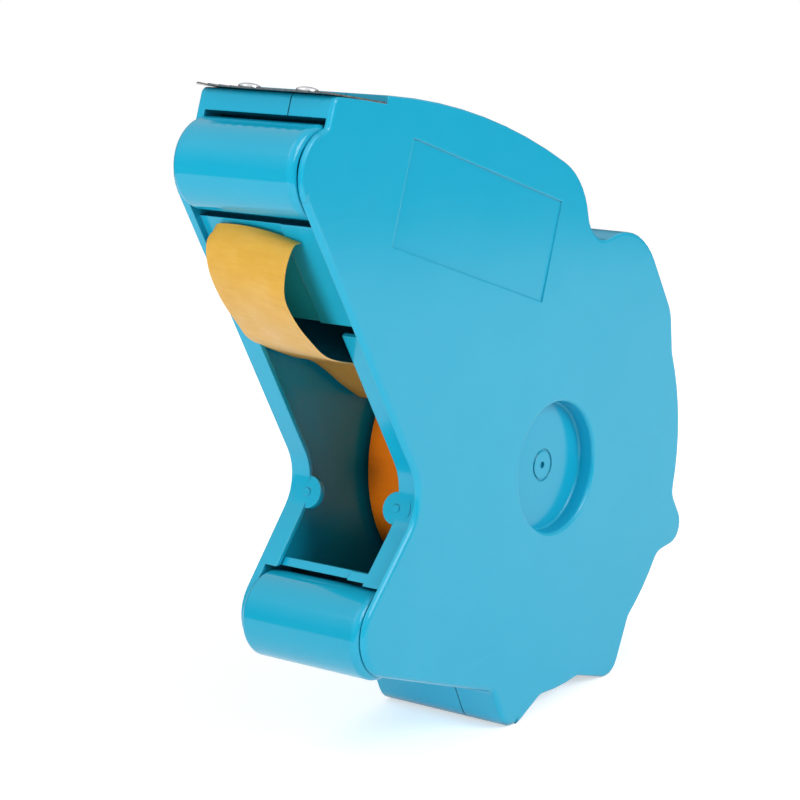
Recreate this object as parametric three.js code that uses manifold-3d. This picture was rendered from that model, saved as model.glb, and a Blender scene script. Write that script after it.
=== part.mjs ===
// Masking tape applicator: two moulded half shells round a roll of tape on a hub, two rollers at the
// front, and a serrated cutter blade screwed across the top. Millimetres.
//
// Case frame: x runs across the width with the cover half at +x, y runs to the back, z runs up, and the
// origin lies on the tape hub's axis, half way across. The finished case is then tipped forward until its
// foot and its middle grip stand on the ground.

import * as THREE from "three";
import { mergeVertices } from "three/addons/utils/BufferGeometryUtils.js";
import Module from "manifold-3d";

const { degToRad } = THREE.MathUtils;

// Case
const case_width = 33;
const parting_from_cover_face = 10.5;
const parting_gap = 0.25;
const cover_panel_thickness = 1;
const base_panel_thickness = 2;
const wall_thickness = 1.8;
const edge_depth = 0.35;
const edge_width = 0.6;
const cover_front_edge_depth = 0.9;
const cover_front_edge_width = 1.4;
const clearance = 0.3;
const overrun = 2;
const facet_sag = 0.05;
const widest_facet_angle = Math.PI / 7;
const edge_steps = 2;

// Rollers
const roller_radius = 9;
const roller_wall = 1.8;
const roller_end_gap = 0.3;
const roller_edge = 1.2;
const roller_pocket_clearance = 1.2;
const upper_roller_forward = 96;
const upper_roller_below_crown = 22.8;
const lower_roller_forward = 48.4;
const lower_roller_drop = 41.6;
const axle_radius = 1.5;
const axle_fit = 0.25;
const socket_radius = 3;
const socket_length = 3;
const socket_floor = 0.9;
const plug_length = 4;
const plug_wall = 1;

// Side outline: lobes beside the rollers, the notch of the window, and the block that carries the blade.
// The lobes are set back from the rollers, which stand out before them, and further back on the base.
const lobe_radius = 9;
const cover_upper_lobe_setback = 1.9;
const cover_lower_lobe_setback = 1.2;
const base_upper_lobe_setback = 3.1;
const base_lower_lobe_setback = 2.5;
const lower_lobe_lift = 1;
const notch_apex_forward = 57.4;
const notch_apex_drop = 16;
const notch_apex_radius = 10.4;
const block_front_forward = 98.1;
const block_corner_radius = 1.5;
const block_foot_radius = 0.6;

// Side outline: crown, thumb notch, thumb rest and back shoulder
const crown_height = 64.1;
const crown_forward = 43.9;
const crown_radius = 177.3;
const hump_radius = 16.4;
const hump_forward = 21.2;
const thumb_notch_radius = 7.2;
const thumb_rest_radius = 15.5;
const thumb_rest_below_crown = 10;
const thumb_rest_back = 12.7;
const shoulder_radius = 9.1;
const shoulder_centre_radius = 44.1;
const shoulder_angle = degToRad(53.1);
const shoulder_root_radius = 5;
const shoulder_root_angle = degToRad(39.5);

// Side outline: round back with three grips, the front one being the foot
const back_radius = 49.6;
const grip_outer_radius = 56.1;
const grip_tip_radius = 5.1;
const rear_grip_tip_radius = 4.5;
const grip_root_radius = 3.9;
const foot_front_root_forward = 8.5;
const foot_front_root_radius = 3;
const bottom_edge_drop = 49.4;
const foot_grip = { angle: -88.4, half_angle: 12.7, tip_radius: grip_tip_radius };
const middle_grip = { angle: -47.4, half_angle: 14, tip_radius: grip_tip_radius };
const rear_grip = { angle: -6.6, half_angle: 10, tip_radius: rear_grip_tip_radius };

// Window between the rollers
const strip_recess = 1.4;
const strip_thickness = 1;
const cover_strip_width = 6;
const base_strip_width = 5;
const guide_plate_end = 30.2;
const strip_start = 32.9;
const lower_bar_height = 1.6;
const cover_strip_roller_clearance = 0.7;
const ear_radius = 3.4;
const ear_rise = 0.2;
const ear_pip_radius = 0.9;
const ear_pip_height = 0.45;

// Cutter blade on its seat
const seat_front_below_crown = 8.35;
const seat_length = 15.9;
const seat_slope = degToRad(8.8);
const blade_thickness = 0.4;
const blade_overhang = 2.7;
const blade_tooth_pitch = 2.75;
const blade_tooth_depth = 1.2;
const blade_screw_from_parting = 1.6;
const blade_screw_spacing = 14.3;
const blade_screw_back = 2.6;
const blade_screw_head_radius = 2.2;
const blade_screw_head_height = 1;
const blade_screw_rim = 0.35;
const blade_screw_shank_radius = 0.7;
const blade_screw_shank_length = 2.6;

// Label recess in the cover panel
const label_length = 54.2;
const label_height = 21.6;
const label_depth = 0.3;
const label_centre_forward = 44.9;
const label_centre_below_crown = 20.7;

// Round pockets in both panels, whose inner sides carry the tape hub
const pocket_radius = 14.15;
const pocket_depth = 3.8;
const pocket_wall = 1.5;
const gate_ring_radius = 3.55;
const gate_ring_width = 0.5;
const gate_ring_depth = 0.3;
const gate_dimple_radius = 0.75;
const gate_dimple_depth = 0.7;
const post_radius = 5.2;
const peg_radius = 3.4;
const peg_engagement = 9;

// Tape hub, core, roll and the loose tail of the tape
const tape_end_gap = 4;
const hub_wall = 1.7;
const hub_flange_radius = 22;
const hub_flange_thickness = 1.1;
const core_wall = 2;
const roll_radius = 28.3;
const tail_thickness = 0.35;
const tail_steps = 40;
const tail_meets_roll = degToRad(184);
const tail_front_shares = [
  [0.24, 0.01], [0.265, -0.065], [0.355, -0.16], [0.495, -0.23], [0.675, -0.235], [0.835, -0.175],
  [0.955, -0.065], [1.015, 0.02], [1.085, 0.13],
];
const tail_inside_shares = [[-2.2, 0.37], [-1.9, 0.37], [-1.53, 0.29], [-1.23, 0.18], [-1.06, 0.06]];

// Case screws, driven from the base side
const case_screw_boss_radius = 4.4;
const case_screw_head_radius = 2.6;
const case_screw_head_height = 1.7;
const case_screw_head_sink = 3;
const case_screw_shank_radius = 1.25;
const case_screw_shank_fit = 0.3;
const case_screw_thread_length = 6;
const case_screw_recess_radius = 1.3;
const case_screw_recess_depth = 0.9;
const case_screw_inset = 8.9;
const top_screw_forward = 45.3;
const top_screw_below_crown = 10.1;
const back_screw_angle = degToRad(-4);
const foot_screw_angle = degToRad(-88);

// Planes across the width
const cover_face = case_width / 2;
const base_face = -case_width / 2;
const cover_inner = cover_face - cover_panel_thickness;
const base_inner = base_face + base_panel_thickness;
const cover_strip_edge = cover_face - cover_strip_width;
const base_strip_edge = base_face + base_strip_width;
const parting_plane = cover_face - parting_from_cover_face;
const cover_edge = parting_plane + parting_gap;
const boss_reach = pocket_depth + pocket_wall;
const cover_boss_end = cover_face - boss_reach;
const base_boss_end = base_face + boss_reach;

const upper_axis = new THREE.Vector2(-upper_roller_forward, crown_height - upper_roller_below_crown);
const lower_axis = new THREE.Vector2(-lower_roller_forward, -lower_roller_drop);
const hub_axis = new THREE.Vector2();
const cover_screw_across = parting_plane + blade_screw_from_parting;
const base_screw_across = cover_screw_across - blade_screw_spacing;
const roller_pocket_radius = roller_radius + roller_pocket_clearance;
const axle_bore_radius = axle_radius + axle_fit;

const wasm = await Module();
wasm.setup();

// Outlines: each bend is a circle with a signed radius, positive where the outline turns round material
function polar(reach, angle) {
  return new THREE.Vector2(Math.cos(angle), Math.sin(angle)).multiplyScalar(reach);
}

function bend(centre, radius) {
  return { centre, radius };
}

function tangentAngle(a, b) {
  const step = b.centre.clone().sub(a.centre);
  const ratio = THREE.MathUtils.clamp((a.radius - b.radius) / step.length(), -1, 1);
  return Math.atan2(step.y, step.x) - Math.acos(ratio);
}

function onBend(a, angle) {
  return polar(a.radius, angle).add(a.centre);
}

function arcSteps(radius, sweep) {
  const by_sag = 2 * Math.acos(Math.max(0, 1 - facet_sag / Math.abs(radius)));
  return Math.max(1, Math.ceil(Math.abs(sweep) / Math.min(by_sag, widest_facet_angle)));
}

function outlineOf(bends) {
  const turn = 2 * Math.PI;
  const almost_turn = turn - widest_facet_angle / 10;
  const points = [];
  bends.forEach((here, i) => {
    const before = bends[(i + bends.length - 1) % bends.length];
    const after = bends[(i + 1) % bends.length];
    const way = Math.sign(here.radius);
    const from = tangentAngle(before, here);
    let sweep = THREE.MathUtils.euclideanModulo(way * (tangentAngle(here, after) - from), turn);
    if (sweep > almost_turn) sweep = 0;
    const steps = arcSteps(here.radius, sweep);
    for (let k = 0; k <= steps; k++) {
      points.push(onBend(here, from + (way * sweep * k) / steps));
    }
  });
  return points.filter((p, i) => p.distanceTo(points[(i + 1) % points.length]) > facet_sag);
}

function insetBends(bends, by) {
  return bends.map((b) => bend(b.centre, b.radius > 0 ? Math.max(b.radius - by, facet_sag) : b.radius - by));
}

// The centre of a circle that touches the bends a and b from outside, on the left of the way from a to b
function touchingCentre(a, b, radius) {
  const across = b.centre.clone().sub(a.centre);
  const gap = across.length();
  const from_a = a.radius + radius;
  const from_b = b.radius + radius;
  const along = (from_a ** 2 - from_b ** 2 + gap ** 2) / (2 * gap);
  const aside = Math.sqrt(Math.max(0, from_a ** 2 - along ** 2));
  const unit = across.normalize();
  const left = new THREE.Vector2(-unit.y, unit.x);
  return unit.clone().multiplyScalar(along).add(left.multiplyScalar(aside)).add(a.centre);
}

function insideCrown(crown, y, radius) {
  const reach = crown.radius - radius;
  const z = crown.centre.y + Math.sqrt(reach ** 2 - (y - crown.centre.x) ** 2);
  return bend(new THREE.Vector2(y, z), radius);
}

function gripBends(grip) {
  const root = (angle) => bend(polar(back_radius + grip_root_radius, degToRad(angle)), -grip_root_radius);
  const tip = bend(polar(grip_outer_radius - grip.tip_radius, degToRad(grip.angle)), grip.tip_radius);
  return [root(grip.angle - grip.half_angle), tip, root(grip.angle + grip.half_angle)];
}

const notch_apex = bend(new THREE.Vector2(-notch_apex_forward, -notch_apex_drop), -notch_apex_radius);

// The front of a side, from the foot of the upright block down to the lower lobe
function frontBends(upper_setback, lower_setback) {
  const upper_lobe = bend(new THREE.Vector2(upper_setback, 0).add(upper_axis), lobe_radius);
  const lower_lobe = bend(new THREE.Vector2(lower_setback, lower_lobe_lift).add(lower_axis), lobe_radius);
  const foot_y = -block_front_forward - block_foot_radius;
  const foot_drop = foot_y - upper_lobe.centre.x;
  const foot_z = upper_lobe.centre.y + Math.sqrt((lobe_radius + block_foot_radius) ** 2 - foot_drop ** 2);
  const block_foot = bend(new THREE.Vector2(foot_y, foot_z), -block_foot_radius);
  return [block_foot, upper_lobe, notch_apex, lower_lobe];
}

function sideBends(front) {
  const crown = bend(new THREE.Vector2(-crown_forward, crown_height - crown_radius), crown_radius);
  const hump = insideCrown(crown, -hump_forward, hump_radius);
  const rest_height = crown_height - thumb_rest_below_crown - thumb_rest_radius;
  const thumb_rest = bend(new THREE.Vector2(thumb_rest_back, rest_height), thumb_rest_radius);
  const thumb_notch = bend(touchingCentre(hump, thumb_rest, thumb_notch_radius), -thumb_notch_radius);
  const shoulder = bend(polar(shoulder_centre_radius, shoulder_angle), shoulder_radius);
  const shoulder_root_reach = back_radius + shoulder_root_radius;
  const shoulder_root = bend(polar(shoulder_root_reach, shoulder_root_angle), -shoulder_root_radius);
  const block_corner_y = block_corner_radius - block_front_forward;
  const block_corner = insideCrown(crown, block_corner_y, block_corner_radius);
  const foot_root_z = -bottom_edge_drop - foot_front_root_radius;
  const foot_root_centre = new THREE.Vector2(-foot_front_root_forward, foot_root_z);
  const foot_root = bend(foot_root_centre, -foot_front_root_radius);
  const back = bend(hub_axis, back_radius);
  const [, foot_tip, foot_root_behind] = gripBends(foot_grip);
  return [
    block_corner, ...front, foot_root, foot_tip, foot_root_behind, back, ...gripBends(middle_grip), back,
    ...gripBends(rear_grip), back, shoulder_root, shoulder, thumb_rest, thumb_notch, hump, crown,
  ];
}

const cover_front = frontBends(cover_upper_lobe_setback, cover_lower_lobe_setback);
const cover_side = sideBends(cover_front);
const base_side = sideBends(frontBends(base_upper_lobe_setback, base_lower_lobe_setback));

// Solids
const outline_to_case = new THREE.Matrix4().makeBasis(
  new THREE.Vector3(0, 1, 0), new THREE.Vector3(0, 0, 1), new THREE.Vector3(1, 0, 0));

function solidOf(geometry) {
  geometry.deleteAttribute("normal");
  geometry.deleteAttribute("uv");
  const merged = mergeVertices(geometry);
  const vertProperties = merged.attributes.position.array;
  const triVerts = new Uint32Array(merged.index.array);
  return new wasm.Manifold(new wasm.Mesh({ numProp: 3, vertProperties, triVerts }));
}

function geometryOf(solid) {
  const mesh = solid.getMesh();
  const geometry = new THREE.BufferGeometry();
  geometry.setAttribute("position", new THREE.BufferAttribute(mesh.vertProperties, mesh.numProp));
  geometry.setIndex(new THREE.BufferAttribute(mesh.triVerts, 1));
  geometry.computeVertexNormals();
  return geometry;
}

function prism(points, from, to) {
  const depth = to - from;
  const geometry = new THREE.ExtrudeGeometry(new THREE.Shape(points), { depth, bevelEnabled: false });
  geometry.applyMatrix4(outline_to_case).translate(from, 0, 0);
  return solidOf(geometry);
}

// Rounded edges are measured in depth across the case and in width along its side
const plain_edge = { depth: edge_depth, width: edge_width };
const cover_front_edge = { depth: cover_front_edge_depth, width: cover_front_edge_width };

function roundedPrism(points, from, to, edge) {
  const geometry = new THREE.ExtrudeGeometry(new THREE.Shape(points), {
    depth: to - from - 2 * edge.depth,
    bevelThickness: edge.depth,
    bevelSize: edge.width,
    bevelOffset: -edge.width,
    bevelSegments: edge_steps,
  });
  geometry.applyMatrix4(outline_to_case).translate(from + edge.depth, 0, 0);
  return solidOf(geometry);
}

function roundSteps(radius) {
  return 4 * Math.ceil(arcSteps(radius, 2 * Math.PI) / 4);
}

// A cylinder round an axis across the width, between two planes given in either order
function barrel(axis, radius, from, to) {
  const geometry = new THREE.CylinderGeometry(radius, radius, Math.abs(to - from), roundSteps(radius));
  geometry.rotateZ(-Math.PI / 2).translate((from + to) / 2, axis.x, axis.y);
  return solidOf(geometry);
}

// A solid of revolution whose profile is a closed list of [radius, x], listed so that it faces out
function turned(axis, profile, steps) {
  const ring = [...profile, profile[0]].map(([radius, x]) => new THREE.Vector2(radius, x));
  const geometry = new THREE.LatheGeometry(ring, steps);
  geometry.rotateZ(-Math.PI / 2).translate(0, axis.x, axis.y);
  return solidOf(geometry);
}

function slab(from_x, to_x, from_y, to_y, from_z, to_z) {
  const geometry = new THREE.BoxGeometry(to_x - from_x, to_y - from_y, to_z - from_z);
  geometry.translate((from_x + to_x) / 2, (from_y + to_y) / 2, (from_z + to_z) / 2);
  return solidOf(geometry);
}

const blade_screws = [
  { name: "blade_screw_cover", across: cover_screw_across },
  { name: "blade_screw_base", across: base_screw_across },
];

// Blade seat: a sloping line across the top of the block, with its own frame of distances along and up
const seat_start = new THREE.Vector2(-block_front_forward, crown_height - seat_front_below_crown);

function onSeat(along, up) {
  return new THREE.Vector2(along, up).rotateAround(hub_axis, seat_slope).add(seat_start);
}

function bladeSeatCut() {
  const headroom = seat_front_below_crown + overrun;
  const back_foot = onSeat(seat_length, 0);
  const front = onSeat(-blade_overhang - overrun, 0);
  const top = back_foot.y + headroom;
  const points = [front, back_foot, new THREE.Vector2(back_foot.x, top), new THREE.Vector2(front.x, top)];
  return prism(points, base_face - overrun, cover_face + overrun);
}

function bladeBlock(side) {
  const from_y = -block_front_forward - overrun;
  const to_y = onSeat(seat_length, 0).x + wall_thickness;
  const from_z = upper_axis.y + roller_radius;
  const block = slab(base_inner, cover_inner, from_y, to_y, from_z, crown_height + overrun);
  return block.intersect(sideSolid(side, 0, base_inner, cover_inner));
}

// The window's notch: distances run along its upper edge from the lower lip of the upper roller's pocket
const [, notch_start] = cover_front;
const notch_normal_angle = tangentAngle(notch_start, notch_apex);
const notch_outward = polar(1, notch_normal_angle);
const notch_along = new THREE.Vector2(-notch_outward.y, notch_outward.x);
const notch_edge_start = onBend(notch_start, notch_normal_angle);

function onNotch(along, depth) {
  const point = notch_edge_start.clone().add(notch_along.clone().multiplyScalar(along));
  return point.sub(notch_outward.clone().multiplyScalar(depth));
}

// Everything of the case's side that lies before the window's ledges, from a place along the upper edge
function notchRegion(from_along) {
  const front = new THREE.Vector2(-upper_roller_forward, -lower_roller_drop);
  const back = new THREE.Vector2(notch_apex_radius - lower_roller_forward, -notch_apex_drop);
  return [onNotch(from_along, notch_apex_radius), onNotch(from_along, -overrun), front, lower_axis, back];
}

function betweenRollers() {
  return prism([...notchRegion(0).slice(1), upper_axis], base_inner, cover_inner);
}

function sideSolid(side, inset, from, to) {
  return prism(outlineOf(insetBends(side, inset)), from, to);
}

function frontRecessCut(side) {
  return betweenRollers().subtract(sideSolid(side, strip_recess, base_face, cover_face));
}

function stripBand(side, recess) {
  const front = sideSolid(side, recess, base_inner, cover_inner);
  const back = sideSolid(side, recess + strip_thickness, base_face, cover_face);
  return front.subtract(back).intersect(betweenRollers());
}

// The strip beside the window on one side, with a disc and a pip level with the centre of the notch's bend
function ledge(side, { recess, inner, outer }) {
  const across = [Math.min(inner, outer), Math.max(inner, outer)];
  const strip = stripBand(side, recess).intersect(prism(notchRegion(strip_start), ...across));
  const middle_y = notch_apex.centre.x + notch_apex_radius + recess + strip_thickness / 2;
  const disc = (radius, height) => {
    const geometry = new THREE.CylinderGeometry(radius, radius, height, roundSteps(radius));
    return solidOf(geometry.translate(inner, middle_y, notch_apex.centre.y));
  };
  const ear_thickness = strip_thickness + 2 * ear_rise;
  const pip = disc(ear_pip_radius, ear_thickness + 2 * ear_pip_height);
  return strip.add(disc(ear_radius, ear_thickness)).add(pip);
}

function bothRollers(radius) {
  const upper = barrel(upper_axis, radius, base_inner, cover_inner);
  return upper.add(barrel(lower_axis, radius, base_inner, cover_inner));
}

function rollerPocketWalls(side) {
  const within = sideSolid(side, strip_recess, base_inner, cover_inner);
  return bothRollers(roller_pocket_radius + wall_thickness).intersect(within);
}

function windowCut() {
  const lower_bar = barrel(lower_axis, roller_pocket_radius + lower_bar_height, base_face, cover_face);
  return prism(notchRegion(guide_plate_end), base_inner, cover_inner).subtract(lower_bar);
}

// The cover's ledge runs on below the bar and ends close to the lower roller
function rollerPockets() {
  const wide = barrel(lower_axis, roller_pocket_radius, cover_strip_edge, cover_inner);
  const close_radius = roller_radius + cover_strip_roller_clearance;
  const close = barrel(lower_axis, close_radius, cover_strip_edge, cover_inner);
  return bothRollers(roller_pocket_radius).subtract(wide).add(close);
}

// Everything from under the blade, round the window, to the bottom of the foot
function frontRegion() {
  const under_blade = onSeat(seat_length / 2, 0).x;
  const foot_tip = gripBends(foot_grip)[1];
  const under_foot = foot_tip.centre.x + foot_tip.radius / 2;
  const front = -block_front_forward - overrun;
  const bottom = -grip_outer_radius;
  const across = [base_face - overrun, cover_face + overrun];
  const below = slab(...across, front, under_foot, bottom, upper_axis.y);
  return below.add(slab(...across, front, under_blade, bottom, crown_height + overrun));
}

// A case as one body, before it is parted, with both of its sides alike but for the ledge
function caseBody(side, front_edge, strip) {
  const [round_front, plain] = [front_edge, plain_edge].map((edge) =>
    roundedPrism(outlineOf(side), base_face, cover_face, edge));
  const front = frontRegion();
  const outside = plain.subtract(front).add(round_front.intersect(front));
  const kept = bladeBlock(side).add(stripBand(side, strip_recess)).add(rollerPocketWalls(side));
  const hollow = outside.subtract(sideSolid(side, wall_thickness, base_inner, cover_inner).subtract(kept));
  const opened = hollow.subtract(frontRecessCut(side)).subtract(windowCut()).add(ledge(side, strip));
  return opened.subtract(rollerPockets()).subtract(bladeSeatCut());
}

const cover_strip = { recess: strip_recess, inner: cover_strip_edge, outer: cover_inner };
const base_strip = { recess: 0, inner: base_strip_edge, outer: base_inner };

function half(body, from, to) {
  const reach = upper_roller_forward + grip_outer_radius;
  return body.intersect(slab(from, to, -reach, reach, -reach, reach));
}

const top_screw_place = new THREE.Vector2(-top_screw_forward, crown_height - top_screw_below_crown);
const case_screws = [
  { name: "case_screw_top", place: top_screw_place },
  { name: "case_screw_back", place: polar(back_radius - case_screw_inset, back_screw_angle) },
  { name: "case_screw_foot", place: polar(back_radius - case_screw_inset, foot_screw_angle) },
];

// The panels: way is 1 on the cover side and -1 on the base side
const cover_panel = { face: cover_face, inner: cover_inner, way: 1 };
const base_panel = { face: base_face, inner: base_inner, way: -1 };

function withAxleSocket(shell, axis, { face, inner, way }) {
  const tip = inner - way * socket_length;
  const boss = barrel(axis, socket_radius, inner + way * clearance, tip);
  const bore = barrel(axis, axle_bore_radius, face - way * socket_floor, tip - way * overrun);
  return shell.add(boss).subtract(bore);
}

function withHubPocket(shell, { face, inner, way }) {
  const floor = face - way * pocket_depth;
  const ring_floor = floor - way * gate_ring_depth;
  const outside = face + way * overrun;
  const boss = barrel(hub_axis, pocket_radius + pocket_wall, inner, face - way * boss_reach);
  const ring_core = barrel(hub_axis, gate_ring_radius - gate_ring_width, ring_floor, outside);
  const ring = barrel(hub_axis, gate_ring_radius, ring_floor, outside).subtract(ring_core);
  const dimple = barrel(hub_axis, gate_dimple_radius, floor - way * gate_dimple_depth, outside);
  const pocket = barrel(hub_axis, pocket_radius, floor, outside);
  return shell.add(boss).subtract(pocket).subtract(ring).subtract(dimple);
}

function withPockets(shell, panel) {
  const upper = withAxleSocket(shell, upper_axis, panel);
  return withHubPocket(withAxleSocket(upper, lower_axis, panel), panel);
}

const screw_hole_radius = case_screw_shank_radius + case_screw_shank_fit;
const screw_tip = parting_plane + case_screw_thread_length;

function withScrewHoles(shell, place) {
  const boss = barrel(place, case_screw_boss_radius, base_inner, parting_plane);
  const head_hole_radius = case_screw_head_radius + clearance;
  const head_hole = barrel(place, head_hole_radius, base_face - overrun, base_face + case_screw_head_sink);
  const shank_hole = barrel(place, screw_hole_radius, base_face, parting_plane + overrun);
  return shell.add(boss).subtract(head_hole).subtract(shank_hole);
}

function withScrewPilot(shell, place) {
  const boss = barrel(place, case_screw_boss_radius, cover_edge, cover_inner);
  const pilot = barrel(place, screw_hole_radius, cover_edge - overrun, screw_tip + clearance);
  return shell.add(boss).subtract(pilot);
}

function bladeScrewHole(across) {
  const radius = blade_screw_shank_radius + clearance;
  const depth = blade_screw_shank_length + clearance;
  const geometry = new THREE.CylinderGeometry(radius, radius, depth + overrun, roundSteps(radius));
  const centre = onSeat(blade_screw_back, (overrun - depth) / 2);
  geometry.rotateX(Math.PI / 2 + seat_slope).translate(across, centre.x, centre.y);
  return solidOf(geometry);
}

function labelRecess() {
  const from_y = -label_centre_forward - label_length / 2;
  const from_z = crown_height - label_centre_below_crown - label_height / 2;
  return slab(cover_face - label_depth, cover_face + overrun, from_y, from_y + label_length, from_z,
    from_z + label_height);
}

function baseShell() {
  const plain = half(caseBody(base_side, plain_edge, base_strip), base_face - overrun, parting_plane);
  const pocketed = withPockets(plain, base_panel);
  const shell = case_screws.reduce((sum, screw) => withScrewHoles(sum, screw.place), pocketed);
  const post = barrel(hub_axis, post_radius, base_boss_end - pocket_wall / 2, cover_boss_end - clearance);
  const post_bore_floor = parting_plane - peg_engagement - clearance;
  const post_bore = barrel(hub_axis, peg_radius + clearance, post_bore_floor, cover_face);
  return shell.add(post).subtract(post_bore).subtract(bladeScrewHole(base_screw_across));
}

function coverShell() {
  const plain = half(caseBody(cover_side, cover_front_edge, cover_strip), cover_edge, cover_face + overrun);
  const pocketed = withPockets(plain, cover_panel);
  const shell = case_screws.reduce((sum, screw) => withScrewPilot(sum, screw.place), pocketed);
  const peg = barrel(hub_axis, peg_radius, parting_plane - peg_engagement, cover_boss_end + pocket_wall / 2);
  return shell.add(peg).subtract(labelRecess()).subtract(bladeScrewHole(cover_screw_across));
}

// Rollers: a tube with an end plug in each end, turning on a steel axle held in the shells' sockets
function rollerTube(axis) {
  const bore = roller_radius - roller_wall;
  const from = base_inner + roller_end_gap;
  const to = cover_inner - roller_end_gap;
  const steps = 2 * roundSteps(roller_radius);
  return turned(axis, [
    [bore, from], [roller_radius - roller_edge, from], [roller_radius, from + roller_edge],
    [roller_radius, to - roller_edge], [roller_radius - roller_edge, to], [bore, to],
  ], steps);
}

// A cup that faces into the tube, with a spigot round the axle
function rollerPlug(axis, { inner: panel_inner, way }) {
  const radius = roller_radius - roller_wall - clearance;
  const outer = panel_inner - way * (socket_length + roller_end_gap);
  const inner = outer - way * plug_length;
  const web = outer - way * plug_wall;
  const spigot = barrel(axis, socket_radius, web, inner - way * overrun);
  const hollow = barrel(axis, radius - plug_wall, web, inner - way * overrun).subtract(spigot);
  return barrel(axis, radius, outer, inner).subtract(hollow).subtract(
    barrel(axis, axle_bore_radius, base_face, cover_face));
}

function rollerAxle(axis) {
  const end = cover_face - socket_floor - clearance;
  return barrel(axis, axle_radius, -end, end);
}

// Tape: hub on the pocket bosses, core on the hub, and the wound roll on the core
const hub_bore = pocket_radius + pocket_wall + clearance;
const hub_radius = hub_bore + hub_wall;
const core_bore = hub_radius + clearance;
const core_radius = core_bore + core_wall;
const roll_bore = core_radius + clearance;
const hub_from = base_inner + clearance;
const hub_to = cover_inner - clearance;
const tape_from = hub_from + hub_flange_thickness + clearance;
const tape_to = hub_to - tape_end_gap;

function tapeHub() {
  return turned(hub_axis, [
    [hub_bore, hub_from], [hub_flange_radius, hub_from], [hub_flange_radius, hub_from + hub_flange_thickness],
    [hub_radius, hub_from + hub_flange_thickness], [hub_radius, hub_to], [hub_bore, hub_to],
  ], roundSteps(roll_radius));
}

function tapeRing(inner, outer) {
  return turned(hub_axis, [[inner, tape_from], [outer, tape_from], [outer, tape_to], [inner, tape_to]],
    roundSteps(roll_radius));
}

// The loose end hangs in a bow before the guide plate, then runs in through the window to the roll
function tailRoute() {
  const reach = roll_radius + clearance + tail_thickness / 2;
  const front = tail_front_shares.map((share) => onNotch(...share.map((s) => s * guide_plate_end)));
  const inside = tail_inside_shares.map(([back, up]) => new THREE.Vector2(back, up).multiplyScalar(reach));
  const points = [...front, ...inside, polar(reach, tail_meets_roll)];
  return new THREE.CatmullRomCurve3(points.map((p) => new THREE.Vector3(p.x, p.y, 0)), false, "centripetal");
}

function tapeTail() {
  const route = tailRoute();
  const places = Array.from({ length: tail_steps + 1 }, (_, i) => i / tail_steps);
  const [upper, lower] = [1, -1].map((way) => places.map((t) => {
    const along = route.getTangentAt(t);
    const aside = new THREE.Vector2(-along.y, along.x).multiplyScalar((way * tail_thickness) / 2);
    return aside.add(route.getPointAt(t));
  }));
  return prism([...lower, ...upper.reverse()], tape_from, tape_to);
}

// Blade and screws, drawn flat on the seat: x across, y along the seat, z up from it
function cutterBlade() {
  const width = case_width;
  const teeth = Math.round(width / blade_tooth_pitch);
  const pitch = width / teeth;
  const shape = new THREE.Shape();
  shape.moveTo(-width / 2, seat_length - clearance);
  for (let i = 0; i < teeth; i++) {
    shape.lineTo(-width / 2 + i * pitch, blade_tooth_depth - blade_overhang);
    shape.lineTo(-width / 2 + (i + 1 / 2) * pitch, -blade_overhang);
  }
  shape.lineTo(width / 2, blade_tooth_depth - blade_overhang);
  shape.lineTo(width / 2, seat_length - clearance);
  const hole_radius = blade_screw_shank_radius + clearance;
  for (const { across } of blade_screws) {
    const hole = new THREE.Path();
    hole.absarc(across, blade_screw_back, hole_radius, 0, 2 * Math.PI, true);
    shape.holes.push(hole);
  }
  return new THREE.ExtrudeGeometry(shape, { depth: blade_thickness, bevelEnabled: false, curveSegments: 8 });
}

function bladeScrew() {
  const under = clearance + blade_thickness + clearance;
  const rim_top = under + blade_screw_rim;
  const dome = blade_screw_head_height - blade_screw_rim;
  const steps = 4;
  const head = Array.from({ length: steps }, (_, i) => {
    const angle = (i * Math.PI) / 2 / steps;
    return [blade_screw_head_radius * Math.cos(angle), rim_top + dome * Math.sin(angle)];
  });
  const profile = [[0, -blade_screw_shank_length], [blade_screw_shank_radius, -blade_screw_shank_length],
    [blade_screw_shank_radius, under], [blade_screw_head_radius, under], ...head, [0, rim_top + dome]];
  const geometry = new THREE.LatheGeometry(profile.map(([r, z]) => new THREE.Vector2(r, z)), 16);
  return geometry.rotateX(Math.PI / 2);
}

function caseScrew(place) {
  const under = base_face + case_screw_head_sink - clearance;
  const top = under - case_screw_head_height;
  const head = barrel(place, case_screw_head_radius, top, under);
  const shank = barrel(place, case_screw_shank_radius, top, screw_tip);
  const recess = barrel(place, case_screw_recess_radius, top - overrun, top + case_screw_recess_depth);
  return head.add(shank).subtract(recess);
}

// Materials
function plastic(colour) {
  return new THREE.MeshStandardMaterial({ color: colour, roughness: 0.28, metalness: 0 });
}

function steel(colour, roughness) {
  return new THREE.MeshStandardMaterial({ color: colour, roughness, metalness: 1 });
}

function paper(colour) {
  return new THREE.MeshStandardMaterial({ color: colour, roughness: 0.7, metalness: 0 });
}

const shell_plastic = plastic(0x29a8cf);
const roller_plastic = plastic(0x27a3ca);
const plug_plastic = plastic(0x2290b4);
const hub_plastic = plastic(0xe8e6df);
const bright_steel = steel(0xc9ccd0, 0.3);
const blade_steel = steel(0x8e8a86, 0.35);
const tape_paper = paper(0xe8b03c);
const roll_paper = paper(0xd26905);
const core_card = paper(0xb89a72);

function piece(name, solid, material) {
  const mesh = new THREE.Mesh(solid instanceof wasm.Manifold ? geometryOf(solid) : solid, material);
  mesh.name = name;
  return mesh;
}

// Assembly
function rollerSet(name, axis) {
  return [
    piece(`${name}_roller`, rollerTube(axis), roller_plastic),
    piece(`${name}_roller_plug_base`, rollerPlug(axis, base_panel), plug_plastic),
    piece(`${name}_roller_plug_cover`, rollerPlug(axis, cover_panel), plug_plastic),
    piece(`${name}_roller_axle`, rollerAxle(axis), bright_steel),
  ];
}

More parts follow.
